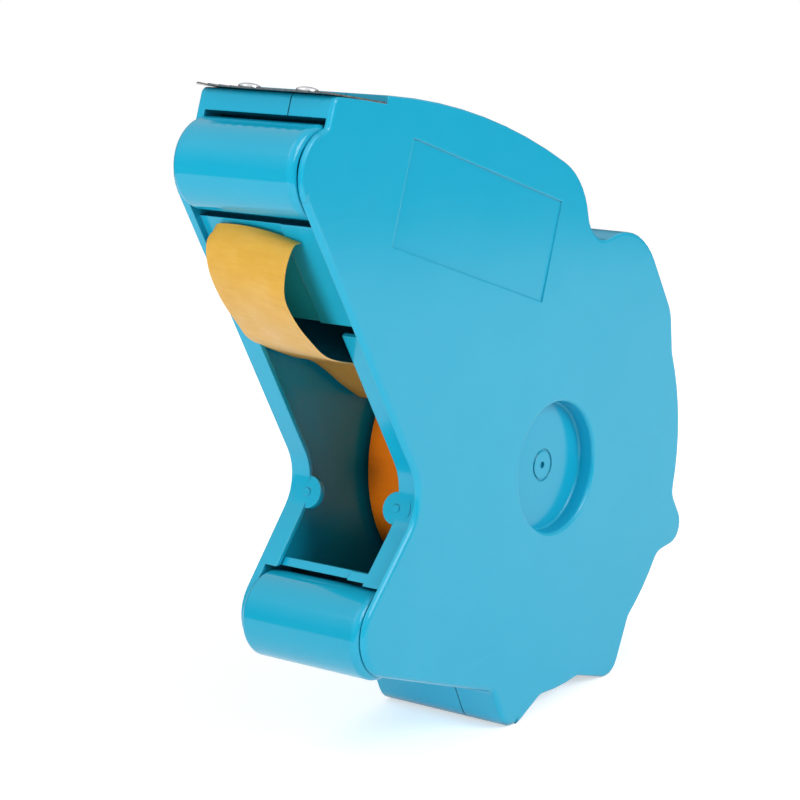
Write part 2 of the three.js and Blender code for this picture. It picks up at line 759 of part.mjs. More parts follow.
function bladeSet() {
  const seat = new THREE.Group();
  seat.rotation.x = seat_slope;
  seat.position.set(0, seat_start.x, seat_start.y);
  const blade = piece("cutter_blade", cutterBlade(), blade_steel);
  blade.position.z = clearance;
  seat.add(blade);
  for (const { name, across } of blade_screws) {
    const screw = piece(name, bladeScrew(), bright_steel);
    screw.position.set(across, blade_screw_back, 0);
    seat.add(screw);
  }
  return seat;
}

const applicator = new THREE.Group();
applicator.add(piece("base_shell", baseShell(), shell_plastic));
applicator.add(piece("cover_shell", coverShell(), shell_plastic));
applicator.add(...rollerSet("upper", upper_axis), ...rollerSet("lower", lower_axis));
applicator.add(bladeSet());
applicator.add(piece("tape_hub", tapeHub(), hub_plastic));
applicator.add(piece("tape_core", tapeRing(core_bore, core_radius), core_card));
applicator.add(piece("tape_roll", tapeRing(roll_bore, roll_radius), roll_paper));
applicator.add(piece("tape_tail", tapeTail(), tape_paper));
for (const screw of case_screws) {
  applicator.add(piece(screw.name, caseScrew(screw.place), bright_steel));
}

// Standing: tipped until the foot and the middle grip are level, then moved so that the ground is z = 0
const [foot_tip, middle_tip] = [foot_grip, middle_grip].map((grip) => gripBends(grip)[1]);
applicator.rotation.x = -Math.PI / 2 - tangentAngle(foot_tip, middle_tip);
const standing = new THREE.Group();
standing.add(applicator);
standing.updateMatrixWorld(true);
const bounds = new THREE.Box3().setFromObject(standing, true);
standing.position.set(0, -(bounds.min.y + bounds.max.y) / 2, -bounds.min.z);

export default standing;
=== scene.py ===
"""Masking tape applicator, dressed: moulded shells, rollers, blade, screws, roll and loose tape end."""

from math import atan2, cos, pi, radians, sin, sqrt

import bmesh
import bpy
from mathutils import Matrix, Vector


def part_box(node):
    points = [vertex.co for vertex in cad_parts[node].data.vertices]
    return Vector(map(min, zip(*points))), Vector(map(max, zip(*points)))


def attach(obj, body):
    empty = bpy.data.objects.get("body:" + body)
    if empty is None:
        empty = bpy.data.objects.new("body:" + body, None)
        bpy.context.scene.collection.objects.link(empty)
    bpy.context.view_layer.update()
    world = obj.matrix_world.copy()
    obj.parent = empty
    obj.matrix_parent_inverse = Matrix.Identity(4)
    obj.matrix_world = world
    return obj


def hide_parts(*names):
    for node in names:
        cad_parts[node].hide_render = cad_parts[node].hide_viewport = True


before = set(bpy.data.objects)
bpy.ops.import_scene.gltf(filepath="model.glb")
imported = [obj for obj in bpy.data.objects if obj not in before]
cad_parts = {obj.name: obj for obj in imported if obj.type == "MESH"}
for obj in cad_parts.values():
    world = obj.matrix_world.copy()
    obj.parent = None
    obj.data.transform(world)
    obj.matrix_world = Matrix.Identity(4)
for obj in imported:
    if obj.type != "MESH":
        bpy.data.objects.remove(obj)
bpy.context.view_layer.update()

MM = 0.001

# Case frame: x across, y back, z up, in millimetres from the tape hub's axis, before the case leans forward
UPPER_ROLLER = (-96.0, 41.3)
LOBE_SETBACK = 1.9
LOBE_RADIUS = 9.0
NOTCH_APEX = (-57.4, -16.0)
NOTCH_APEX_RADIUS = 10.4


def middle(node):
    low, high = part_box(node)
    return (low + high) / 2


def width(node):
    low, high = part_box(node)
    return high - low


HUB = middle("tape_roll")
HUB.x = 0
to_upper = middle("upper_roller") - HUB
LEAN = atan2(to_upper.z, to_upper.y) - atan2(UPPER_ROLLER[1], UPPER_ROLLER[0])
CASE_TO_ROW = Matrix.Translation(HUB) @ Matrix.Rotation(LEAN, 4, "X") @ Matrix.Scale(MM, 4)


def at(x, y, z):
    return CASE_TO_ROW @ Vector((x, y, z))


def notch_frame():
    """Start, direction along and outward direction of the window's upper edge, in the case frame."""
    lobe = Vector(UPPER_ROLLER) + Vector((LOBE_SETBACK, 0))
    step = Vector(NOTCH_APEX) - lobe
    ratio = (LOBE_RADIUS + NOTCH_APEX_RADIUS) / step.length
    angle = atan2(step.y, step.x) - atan2(sqrt(1 - ratio**2), ratio)
    outward = Vector((cos(angle), sin(angle)))
    start = lobe + outward * LOBE_RADIUS
    return start, Vector((-outward.y, outward.x)), outward


NOTCH_START, NOTCH_ALONG, NOTCH_OUT = notch_frame()


def on_notch(x, along, depth):
    """A point by its distance along the window's upper edge and its depth behind that edge."""
    place = NOTCH_START + NOTCH_ALONG * along - NOTCH_OUT * depth
    return at(x, place.x, place.y)


# Node tools
def node(tree, kind, **values):
    made = tree.nodes.new(kind)
    for key, value in values.items():
        setattr(made, key, value)
    return made


def join(tree, source, target):
    tree.links.new(source, target)


def sums(tree, operation, a, b=None, clamp=False):
    made = node(tree, "ShaderNodeMath", operation=operation, use_clamp=clamp)
    for socket, value in zip(made.inputs, (a, b)):
        if value is None:
            continue
        if isinstance(value, (int, float)):
            socket.default_value = value
        else:
            join(tree, value, socket)
    return made.outputs[0]


def ranged(tree, value, low, high, to_low, to_high):
    made = node(tree, "ShaderNodeMapRange")
    join(tree, value, made.inputs["Value"])
    made.inputs["From Min"].default_value = low
    made.inputs["From Max"].default_value = high
    made.inputs["To Min"].default_value = to_low
    made.inputs["To Max"].default_value = to_high
    return made.outputs["Result"]


def noise(tree, vector, scale, detail=2.0, roughness=0.5, stretch=None, distortion=0.0):
    if stretch:
        mapping = node(tree, "ShaderNodeMapping")
        mapping.inputs["Scale"].default_value = stretch
        join(tree, vector, mapping.inputs["Vector"])
        vector = mapping.outputs["Vector"]
    made = node(tree, "ShaderNodeTexNoise")
    join(tree, vector, made.inputs["Vector"])
    made.inputs["Scale"].default_value = scale
    made.inputs["Detail"].default_value = detail
    made.inputs["Roughness"].default_value = roughness
    made.inputs["Distortion"].default_value = distortion
    return made.outputs["Fac"]


def mixed(tree, factor, a, b, blend="MIX"):
    """The colour b over the colour a, by the factor."""
    made = node(tree, "ShaderNodeMix", data_type="RGBA", blend_type=blend)
    kinds = ("VALUE", "RGBA")
    for name, value in (("Factor", factor), ("A", a), ("B", b)):
        socket = next(s for s in made.inputs if s.name == name and s.type in kinds and s.enabled)
        if isinstance(value, (int, float)):
            socket.default_value = value
        elif isinstance(value, tuple):
            socket.default_value = (*value, 1)
        else:
            join(tree, value, socket)
    return next(s for s in made.outputs if s.type == "RGBA")


def group(name, inputs, outputs):
    """A new node group's tree, the sockets that feed it and the sockets that it puts out."""
    tree = bpy.data.node_groups.new(name, "ShaderNodeTree")
    for label, kind in inputs:
        tree.interface.new_socket(label, in_out="INPUT", socket_type=kind)
    for label, kind in outputs:
        tree.interface.new_socket(label, in_out="OUTPUT", socket_type=kind)
    return tree, tree.nodes.new("NodeGroupInput").outputs, tree.nodes.new("NodeGroupOutput").inputs


def placed(tree, made, **values):
    """A group's outputs, with its inputs set or joined by their labels."""
    use = tree.nodes.new("ShaderNodeGroup")
    use.node_tree = made
    for label, value in values.items():
        socket = use.inputs[label.replace("_", " ")]
        if isinstance(value, (int, float)):
            socket.default_value = value
        elif isinstance(value, tuple):
            socket.default_value = (*value, 1)
        else:
            join(tree, value, socket)
    return use.outputs


# Effects shared by the finishes
# A share is how far a tint goes, and a band is the part of a noise that counts
NOISE_BAND = (0.3, 0.7)
FLOW_BLUE, FLOW_SHARE = (0.008, 0.34, 0.55), 0.1
CLOUD_BLUE, CLOUD_SHARE, CLOUD_BAND = (0.05, 0.5, 0.72), 0.08, (0.35, 0.7)
SCRATCH_BLUE, SCRATCH_SHARE = (0.3, 0.72, 0.86), 0.22
SCRATCH_ALONG_BAND, SCRATCH_UP_BAND = (0.72, 0.78), (0.73, 0.79)
FLOW_ROUGHNESS = (-0.03, 0.04)
SCRATCH_ROUGHNESS = 0.16
PEEL_HEIGHT, FLOW_HEIGHT, SCRATCH_HEIGHT = 0.35, 0.5, 0.35


def moulded_group():
    """Plastic with flow marks, faint clouds, orange peel and fine scratches."""
    tree, given, out = group(
        "moulded_surface",
        [("Vector", "NodeSocketVector"), ("Colour", "NodeSocketColor"), ("Roughness", "NodeSocketFloat"),
         ("Scratches", "NodeSocketFloat")],
        [("Colour", "NodeSocketColor"), ("Roughness", "NodeSocketFloat"), ("Height", "NodeSocketFloat")],
    )
    vector = given["Vector"]
    flow = noise(tree, vector, scale=22, detail=3, roughness=0.55, distortion=0.6)
    cloud = noise(tree, vector, scale=70, detail=2)
    peel = noise(tree, vector, scale=1100, detail=2, roughness=0.6)
    along = noise(tree, vector, scale=260, detail=1, roughness=0.4, stretch=(6.0, 0.12, 1.6))
    upward = noise(tree, vector, scale=300, detail=1, roughness=0.4, stretch=(1.0, 3.5, 0.1))
    along = ranged(tree, along, *SCRATCH_ALONG_BAND, 0, 1)
    upward = ranged(tree, upward, *SCRATCH_UP_BAND, 0, 1)
    lines = sums(tree, "MULTIPLY", sums(tree, "ADD", along, upward), given["Scratches"], clamp=True)
    shade = mixed(tree, ranged(tree, flow, *NOISE_BAND, 0, FLOW_SHARE), given["Colour"], FLOW_BLUE)
    shade = mixed(tree, ranged(tree, cloud, *CLOUD_BAND, 0, CLOUD_SHARE), shade, CLOUD_BLUE)
    shade = mixed(tree, sums(tree, "MULTIPLY", lines, SCRATCH_SHARE), shade, SCRATCH_BLUE)
    join(tree, shade, out["Colour"])
    rough = sums(tree, "ADD", given["Roughness"], ranged(tree, flow, *NOISE_BAND, *FLOW_ROUGHNESS))
    rough = sums(tree, "ADD", rough, sums(tree, "MULTIPLY", lines, SCRATCH_ROUGHNESS), clamp=True)
    join(tree, rough, out["Roughness"])
    peel, flow = sums(tree, "MULTIPLY", peel, PEEL_HEIGHT), sums(tree, "MULTIPLY", flow, FLOW_HEIGHT)
    height = sums(tree, "ADD", peel, flow)
    height = sums(tree, "SUBTRACT", height, sums(tree, "MULTIPLY", lines, SCRATCH_HEIGHT))
    join(tree, height, out["Height"])
    return tree


# The cosine between the rounded and the flat normal where an edge's painted highlight starts and is full
EDGE_STARTS, EDGE_FULL = 0.998, 0.88
EDGE_BREAKS, EDGE_LEAST = (0.3, 0.6), 0.55


def edge_highlight_group():
    """Painted highlight: where the rounded normal leaves the flat one, an edge is painted lighter, broken up
    by a noise.
    """
    tree, given, out = group(
        "painted_edge_highlight",
        [("Rounded", "NodeSocketVector"), ("Flat", "NodeSocketVector"), ("Vector", "NodeSocketVector"),
         ("Colour", "NodeSocketColor"), ("Edge", "NodeSocketColor"), ("Amount", "NodeSocketFloat")],
        [("Colour", "NodeSocketColor"), ("Mask", "NodeSocketFloat")],
    )
    dot = node(tree, "ShaderNodeVectorMath", operation="DOT_PRODUCT")
    join(tree, given["Rounded"], dot.inputs[0])
    join(tree, given["Flat"], dot.inputs[1])
    edge = ranged(tree, dot.outputs["Value"], EDGE_STARTS, EDGE_FULL, 0, 1)
    breakup = noise(tree, given["Vector"], scale=240, detail=3)
    broken = ranged(tree, breakup, *EDGE_BREAKS, EDGE_LEAST, 1)
    mask = sums(tree, "MULTIPLY", sums(tree, "MULTIPLY", edge, broken), given["Amount"], clamp=True)
    join(tree, mixed(tree, mask, given["Colour"], given["Edge"]), out["Colour"])
    join(tree, mask, out["Mask"])
    return tree


CREPE_BAND, CREPE_SHARE = (0.35, 0.68), 0.3
MOTTLE_BAND, MOTTLE_SHARE = (0.42, 0.7), 0.28
PAPER_ROUGHNESS = (0.5, 0.68)
FIBRE_HEIGHT = 0.3


def crepe_group():
    """Creped paper: wrinkles across the strip, fine fibre and a faint mottle."""
    tree, given, out = group(
        "creped_paper",
        [("Vector", "NodeSocketVector"), ("Colour", "NodeSocketColor"), ("Dark", "NodeSocketColor"),
         ("Pale", "NodeSocketColor")],
        [("Colour", "NodeSocketColor"), ("Roughness", "NodeSocketFloat"), ("Height", "NodeSocketFloat")],
    )
    vector = given["Vector"]
    crepe = noise(tree, vector, scale=900, detail=3, roughness=0.6, stretch=(0.18, 1.0, 1.0), distortion=0.4)
    fibre = noise(tree, vector, scale=2600, detail=2, roughness=0.6, stretch=(0.5, 1.0, 1.0))
    mottle = noise(tree, vector, scale=130, detail=3, roughness=0.6)
    shade = mixed(tree, ranged(tree, crepe, *CREPE_BAND, 0, CREPE_SHARE), given["Colour"], given["Dark"])
    shade = mixed(tree, ranged(tree, mottle, *MOTTLE_BAND, 0, MOTTLE_SHARE), shade, given["Pale"])
    join(tree, shade, out["Colour"])
    join(tree, ranged(tree, fibre, *NOISE_BAND, *PAPER_ROUGHNESS), out["Roughness"])
    join(tree, sums(tree, "ADD", crepe, sums(tree, "MULTIPLY", fibre, FIBRE_HEIGHT)), out["Height"])
    return tree


STAIN_GREY, STAIN_BAND, STAIN_SHARE = (0.2, 0.19, 0.18), (0.4, 0.72), 0.35
GRAIN_GREY, GRAIN_SHARE = (0.8, 0.8, 0.8), 0.16
GRAIN_ROUGHNESS = (-0.06, 0.08)


def steel_group():
    """Rolled steel: a fine grain across and faint stains."""
    tree, given, out = group(
        "rolled_steel",
        [("Vector", "NodeSocketVector"), ("Colour", "NodeSocketColor"), ("Roughness", "NodeSocketFloat")],
        [("Colour", "NodeSocketColor"), ("Roughness", "NodeSocketFloat"), ("Height", "NodeSocketFloat")],
    )
    grain = noise(tree, given["Vector"], scale=900, detail=2, roughness=0.6, stretch=(0.06, 1.0, 1.0))
    stain = noise(tree, given["Vector"], scale=160, detail=3)
    shade = mixed(tree, ranged(tree, stain, *STAIN_BAND, 0, STAIN_SHARE), given["Colour"], STAIN_GREY)
    shade = mixed(tree, ranged(tree, grain, *NOISE_BAND, 0, GRAIN_SHARE), shade, GRAIN_GREY)
    join(tree, shade, out["Colour"])
    uneven = ranged(tree, grain, *NOISE_BAND, *GRAIN_ROUGHNESS)
    join(tree, sums(tree, "ADD", given["Roughness"], uneven, clamp=True), out["Roughness"])
    join(tree, grain, out["Height"])
    return tree


MOULDED = moulded_group()
EDGE_HIGHLIGHT = edge_highlight_group()
CREPE = crepe_group()
STEEL = steel_group()


def finish(name, specular=0.5, **uniform):
    made = bpy.data.materials.new(name)
    made.use_nodes = True
    tree = made.node_tree
    shader = tree.nodes["Principled BSDF"]
    shader.inputs["Specular IOR Level"].default_value = specular
    for label, value in uniform.items():
        shader.inputs[label.replace("_", " ")].default_value = value
    return made, tree, shader


def object_place(tree):
    return node(tree, "ShaderNodeTexCoord").outputs["Object"]


def bumped(tree, shader, height, distance, strength, normal=None):
    bump = node(tree, "ShaderNodeBump")
    bump.inputs["Strength"].default_value = strength
    bump.inputs["Distance"].default_value = distance
    join(tree, height, bump.inputs["Height"])
    if normal:
        join(tree, normal, bump.inputs["Normal"])
    join(tree, bump.outputs["Normal"], shader.inputs["Normal"])


FINE_SAMPLES = 6
# Painted shade in corners and gaps: how far around it looks in millimetres, how dark it gets and its colour
HOLLOW_REACH = 5.0
HOLLOW_SHADE = 0.55
HOLLOW_SHADE_BLUE = (0.0005, 0.035, 0.06)
# How open a place is where the painted shade in corners and gaps is darkest and ends, and where the painted
# edge highlights start and are full
HOLLOW_DEEP, HOLLOW_ENDS = 0.1, 0.5
OUTER_STARTS, OUTER_FULL = 0.75, 0.95
# The depth of each finish's relief in millimetres
MOULDED_RELIEF, CREPE_RELIEF, STEEL_RELIEF = 0.05, 0.06, 0.02


def openness(tree):
    """1 on open surfaces and outer edges, less in corners and gaps."""
    seen = node(tree, "ShaderNodeAmbientOcclusion", samples=FINE_SAMPLES)
    seen.inputs["Distance"].default_value = HOLLOW_REACH * MM
    return seen.outputs["AO"]


def painted_hollow_shade(tree, opened, colour):
    """Painted shade: deep corners and gaps, where little light reaches, are darker."""
    depth = ranged(tree, opened, HOLLOW_DEEP, HOLLOW_ENDS, HOLLOW_SHADE, 0)
    return mixed(tree, depth, colour, HOLLOW_SHADE_BLUE)


def plastic(name, colour, highlight_colour, roughness, scratches, rounding, highlight_share=0.6, bump=0.12):
    """Moulded plastic whose edges look rounded by so many millimetres, with a painted highlight on open edges
    and painted shade in deep corners and gaps.
    """
    made, tree, shader = finish(name, specular=0.4)
    place = object_place(tree)
    surface = placed(tree, MOULDED, Vector=place, Colour=colour, Roughness=roughness, Scratches=scratches)
    bevel = node(tree, "ShaderNodeBevel", samples=FINE_SAMPLES)
    bevel.inputs["Radius"].default_value = rounding * MM
    flat = node(tree, "ShaderNodeNewGeometry").outputs["Normal"]
    opened = openness(tree)
    outer = ranged(tree, opened, OUTER_STARTS, OUTER_FULL, 0, highlight_share)
    edges = placed(tree, EDGE_HIGHLIGHT, Rounded=bevel.outputs["Normal"], Flat=flat, Vector=place,
                   Colour=surface["Colour"], Edge=highlight_colour, Amount=outer)
    join(tree, painted_hollow_shade(tree, opened, edges["Colour"]), shader.inputs["Base Color"])
    join(tree, surface["Roughness"], shader.inputs["Roughness"])
    bumped(tree, shader, surface["Height"], MOULDED_RELIEF * MM, bump, bevel.outputs["Normal"])
    return made


def crepe_paper(name, colour, dark, pale, strength, coordinates="UV", along=()):
    """Along the strip, each (start, end, tint) in millimetres tints it more from its start to its end."""
    made, tree, shader = finish(name, specular=0.35)
    place = node(tree, "ShaderNodeTexCoord").outputs[coordinates]
    surface = placed(tree, CREPE, Vector=place, Colour=colour, Dark=dark, Pale=pale)
    shade = surface["Colour"]
    for start, end, other in along:
        way = node(tree, "ShaderNodeSeparateXYZ")
        join(tree, place, way.inputs[0])
        gone = ranged(tree, way.outputs["Y"], start * MM, end * MM, 0, 1)
        shade = mixed(tree, gone, shade, other, "MULTIPLY")
    join(tree, shade, shader.inputs["Base Color"])
    join(tree, surface["Roughness"], shader.inputs["Roughness"])
    bumped(tree, shader, surface["Height"], CREPE_RELIEF * MM, strength)
    return made


def steel(name, colour, roughness, strength=0.15):
    made, tree, shader = finish(name, Metallic=1.0)
    surface = placed(tree, STEEL, Vector=object_place(tree), Colour=colour, Roughness=roughness)
    join(tree, surface["Colour"], shader.inputs["Base Color"])
    join(tree, surface["Roughness"], shader.inputs["Roughness"])
    bumped(tree, shader, surface["Height"], STEEL_RELIEF * MM, strength)
    return made


# The colour of the painted edge highlight on the blue plastics
EDGE_HIGHLIGHT_BLUE = (0.10, 0.64, 0.82)
# Along the loose end, a painted reflection makes a stretch of its front paler, and painted shade makes it
# browner inside the case
TAPE_PAINTED_LIGHT = [(8, 28, (1.08, 1.18, 3.0)), (34, 42, (0.6, 0.5, 0.25))]
shell_plastic = plastic("shell_plastic", (0.0065, 0.42, 0.64), EDGE_HIGHLIGHT_BLUE,
                        roughness=0.17, scratches=0.06, rounding=0.35, bump=0.08)
roller_plastic = plastic("roller_plastic", (0.0065, 0.40, 0.61), EDGE_HIGHLIGHT_BLUE,
                         roughness=0.08, scratches=0.1, rounding=0.3, bump=0.05)
plug_plastic = plastic("plug_plastic", (0.006, 0.30, 0.47), EDGE_HIGHLIGHT_BLUE,
                       roughness=0.35, scratches=0.2, rounding=0.15)
hub_plastic = plastic("hub_plastic", (0.72, 0.70, 0.64), (0.85, 0.84, 0.8),
                      roughness=0.35, scratches=0.2, rounding=0.15)
bright_steel = steel("bright_steel", (0.88, 0.89, 0.9), roughness=0.13)
blade_steel = steel("blade_steel", (0.42, 0.4, 0.38), roughness=0.3, strength=0.4)
tape_paper = crepe_paper("tape_paper", colour=(0.74, 0.42, 0.055), dark=(0.60, 0.27, 0.025),
                         pale=(0.84, 0.54, 0.15), strength=0.5, along=TAPE_PAINTED_LIGHT)
roll_paper = crepe_paper("roll_paper", colour=(0.96, 0.22, 0.004), dark=(0.8, 0.15, 0.003),
                         pale=(0.97, 0.28, 0.006), strength=0.4)
core_card = crepe_paper("core_card", colour=(0.48, 0.34, 0.2), dark=(0.34, 0.23, 0.13),
                        pale=(0.6, 0.46, 0.3), strength=0.4, coordinates="Object")


# Mesh tools
# Corners closer than this in millimetres are one, and faces within this many degrees are one flat face
MERGE_WITHIN = 0.002
SPIN_MERGE_WITHIN = 0.001
FLAT_WITHIN = 0.3
EDGE_SEGMENTS = 4


def linked(name, data):
    made = bpy.data.objects.new(name, data)
    bpy.context.collection.objects.link(made)
    return made


def mesh_object(name, bm):
    mesh = bpy.data.meshes.new(name)
    bm.to_mesh(mesh)
    bm.free()
    return linked(name, mesh)


def piece(name, bm, body, slot, material, **details):
    """A new piece whose faces are first turned outwards."""
    bmesh.ops.recalc_face_normals(bm, faces=bm.faces)
    return kept(name, bm, body, slot, material, **details)


def kept(name, bm, body, slot, material, smooth_below, stands_for, modifiers=()):
    """A new piece, smooth below the angle in degrees, that stands for CAD nodes and rides on a body."""
    for face in bm.faces:
        face.smooth = True
    for edge in bm.edges:
        edge.smooth = len(edge.link_faces) == 2 and edge.calc_face_angle(pi) < radians(smooth_below)
    made = mesh_object(name, bm)
    made.data.materials.append(material)
    for kind, values in modifiers:
        modifier = made.modifiers.new(kind.lower(), kind)
        for key, value in values.items():
            setattr(modifier, key, value)
    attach(made, body)
    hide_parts(*stands_for)
    return made


WEIGHTED = ("WEIGHTED_NORMAL", {"keep_sharp": True, "weight": 80, "mode": "FACE_AREA_WITH_ANGLE"})


def merged_copy(name):
    """A copy of a CAD node's mesh with its loose triangles joined into whole faces."""
    bm = bmesh.new()
    bm.from_mesh(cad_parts[name].data)
    bmesh.ops.remove_doubles(bm, verts=bm.verts, dist=MERGE_WITHIN * MM)
    bmesh.ops.dissolve_limit(bm, angle_limit=radians(FLAT_WITHIN), verts=bm.verts, edges=bm.edges,
                             use_dissolve_boundaries=False)
    return bm


def spun(profile, steps, centre):
    """A closed profile of (radius, x) points in millimetres, spun right round an axis across the case."""
    bm = bmesh.new()
    ring = [bm.verts.new(centre + Vector((x * MM, radius * MM, 0))) for radius, x in profile]
    edges = [bm.edges.new((a, b)) for a, b in zip(ring, ring[1:] + ring[:1])]
    bmesh.ops.spin(bm, geom=ring + edges, cent=centre, axis=(1, 0, 0), angle=2 * pi, steps=steps,
                   use_merge=True)
    bmesh.ops.remove_doubles(bm, verts=bm.verts, dist=SPIN_MERGE_WITHIN * MM)
    return bm


def tube_profile(name, bore, corner, steps, longer=0.0):
    """Radius and closed (radius, x) outline of a tube the size of its solid, with rounded outer corners."""
    low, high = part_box(name)
    radius = (high.z - low.z) / 2 / MM
    start, end = low.x / MM - longer, high.x / MM + longer
    right = []
    for i in range(steps + 1):
        turn = (i * pi) / 2 / steps
        right.append((radius - corner + corner * sin(turn), end - (corner - corner * cos(turn))))
    left = [(r, start + end - x) for r, x in reversed(right)]
    return radius, [(bore, end), *right, *left, (bore, start)]


def round_over(bm, edges, radius):
    """Rounds the edges by a radius in millimetres."""
    bmesh.ops.bevel(bm, geom=edges, offset=radius * MM, segments=EDGE_SEGMENTS, profile=0.5,
                    affect="EDGES", material=-1)


# Shells
PANEL_FACE = 16.5
POCKET_DEPTH = 3.8
POCKET_RADIUS = 14.15
POCKET_LIP = 0.8
POCKET_ROOT = 0.5
PIP_RADIUS = 0.9
PIP_ROUND = 0.4
PIP_OUTSIDE = 12.0
ON_PLANE = 0.02
ON_CIRCLE = 0.1


def round_pocket_edges(bm, face_x, floor_x):
    """The hub pocket's mouth is a soft lip, and its floor runs up into its wall."""
    for x, radius in ((face_x, POCKET_LIP), (floor_x, POCKET_ROOT)):
        ring = []
        for edge in bm.edges:
            places = [vert.co for vert in edge.verts]
            on_plane = all(abs(place.x / MM - x) < ON_PLANE for place in places)
            reaches = [sqrt((place.y - HUB.y)**2 + (place.z - HUB.z)**2) / MM for place in places]
            if on_plane and all(abs(reach - POCKET_RADIUS) < ON_CIRCLE for reach in reaches):
                ring.append(edge)
        round_over(bm, ring, radius)


def round_pip(bm):
    """The pip on the ear, level with the window's bend, ends in a dome."""
    to_case = CASE_TO_ROW.inverted()
    ends = []
    for edge in bm.edges:
        places = [to_case @ vert.co for vert in edge.verts]
        level = all(abs(place.z - NOTCH_APEX[1]) < PIP_RADIUS + ON_CIRCLE for place in places)
        if level and all(abs(place.x) < PIP_OUTSIDE for place in places):
            ends.append((max(place.y for place in places), edge))
    front = min(y for y, edge in ends)
    round_over(bm, [edge for y, edge in ends if y < front + ON_PLANE], PIP_ROUND)


def shell(name, side):
    bm = merged_copy(name)
    round_pocket_edges(bm, side * PANEL_FACE, side * (PANEL_FACE - POCKET_DEPTH))
    round_pip(bm)
    return kept(f"{name}_moulding", bm, "case", "shell_plastic", shell_plastic,
                smooth_below=48.0, stands_for=(name,), modifiers=[WEIGHTED])


shell("cover_shell", 1)
shell("base_shell", -1)

# Rollers, each end a little longer than its solid to narrow the gap beside it
ROLLER_EDGE = 1.4
ROLLER_EDGE_STEPS = 6
ROLLER_BORE = 7.2
ROLLER_END_FILL = 0.12
ROLLER_STEPS = 128


def roller(name):
    profile = tube_profile(name, ROLLER_BORE, ROLLER_EDGE, ROLLER_EDGE_STEPS, ROLLER_END_FILL)[1]
    centre = middle(name)
    centre.x = 0
    bm = spun(profile, ROLLER_STEPS, centre)
    return piece(f"{name}_tube", bm, f"{name}_set", "roller_plastic", roller_plastic,
                 smooth_below=50.0, stands_for=(name,), modifiers=[WEIGHTED])


roller("upper_roller")
roller("lower_roller")

# Tape: the wound roll and its loose end
ROLL_BORE = 20.25
ROLL_EDGE = 0.25
ROLL_EDGE_STEPS = 2
ROLL_STEPS = 144
SIDE_FACES_OVER = 0.7
SIDE_STRETCH = 4


def add_wrap_map(bm, centre, radius):
    """UV in metres: across the tape, and along the way that it is wound. The sides show the turns."""
    layer = bm.loops.layers.uv.new("UVMap")
    for face in bm.faces:
        face_middle = face.calc_center_median() - centre
        middle_angle = atan2(face_middle.z, face_middle.y)
        side = abs(face.normal.x) > SIDE_FACES_OVER
        for loop in face.loops:
            point = loop.vert.co - centre
            angle = atan2(point.z, point.y)
            if angle - middle_angle > pi:
                angle -= 2 * pi
            if middle_angle - angle > pi:
                angle += 2 * pi
            reach = sqrt(point.y**2 + point.z**2)
            loop[layer].uv = (reach * SIDE_STRETCH if side else point.x, angle * radius)


def tape_roll():
    radius, profile = tube_profile("tape_roll", ROLL_BORE, ROLL_EDGE, ROLL_EDGE_STEPS)
    bm = spun(profile, ROLL_STEPS, HUB)
    bm.normal_update()
    add_wrap_map(bm, HUB, radius * MM)
    return piece("tape_winding", bm, "tape_spool", "tape_paper", roll_paper,
                 smooth_below=50.0, stands_for=("tape_roll",), modifiers=[WEIGHTED])


tape_roll()

# The loose end's two edges, each point by its place across, along the window's upper edge and behind it.
# They bulge by different amounts before the guide plate and then run in between the ledges to the roll.
FAR_EDGE = [(-10.7, 7.8, 1.0), (-11.8, 10.9, -1.7), (-12.3, 16.3, -3.3), (-12.4, 23.0, -3.3),
            (-12.4, 30.2, -2.0), (-12.4, 36.0, -0.2)]
NEAR_EDGE = [(10.2, 10.3, 0.9), (10.2, 9.5, -0.6), (10.2, 10.3, -3.0), (10.2, 12.6, -6.0), (10.2, 16.6, -8.4),
             (10.2, 22.3, -8.1), (10.2, 28.0, -6.6), (10.2, 33.2, -4.6), (10.2, 37.1, -1.5),
             (10.2, 39.9, 1.5)]
# The way of both edges inside the case, back and up in the case frame
TAIL_INSIDE = [(-60.0, 10.1), (-53.5, 10.4), (-47.5, 9.2), (-42.5, 7.7), (-38.2, 6.7), (-34.6, 6.0),
               (-31.8, 6.4), (-29.4, 7.6), (-27.6, 9.8), (-26.3, 12.6)]
SPREAD_STEPS = 5
END_BOW = 1.35
BOW_FADES_BY = 0.3
END_CORNER = 2.2
CORNER_DROP = 0.8
CORNER_FADE = 8
TAIL_ACROSS = 24
TAIL_ALONG = 96
TAIL_THICKNESS = 0.18


def smooth_way(points, share):
    """A place on a smooth line through the points, by its share of the way."""
    spans = len(points) - 1
    whole = min(int(share * spans), spans - 1)
    t = share * spans - whole
    near = [points[max(0, min(spans, whole + k))] for k in (-1, 0, 1, 2)]
    a, b, c, d = near
    return 0.5 * ((2 * b) + (c - a) * t + (2 * a - 5 * b + 4 * c - d) * t**2 + (3 * b - a - 3 * c + d) * t**3)


def even_way(points, steps, fine=600):
    """Places at even distances along a smooth line through the points."""
    line = [smooth_way(points, i / fine) for i in range(fine + 1)]
    gone = [0.0]
    for a, b in zip(line, line[1:]):
        gone.append(gone[-1] + (b - a).length)
    places, k = [], 0
    for i in range(steps + 1):
        wanted = gone[-1] * i / steps
        while k < fine - 1 and gone[k + 1] < wanted:
            k += 1
        places.append(line[k].lerp(line[k + 1], (wanted - gone[k]) / (gone[k + 1] - gone[k])))
    return places


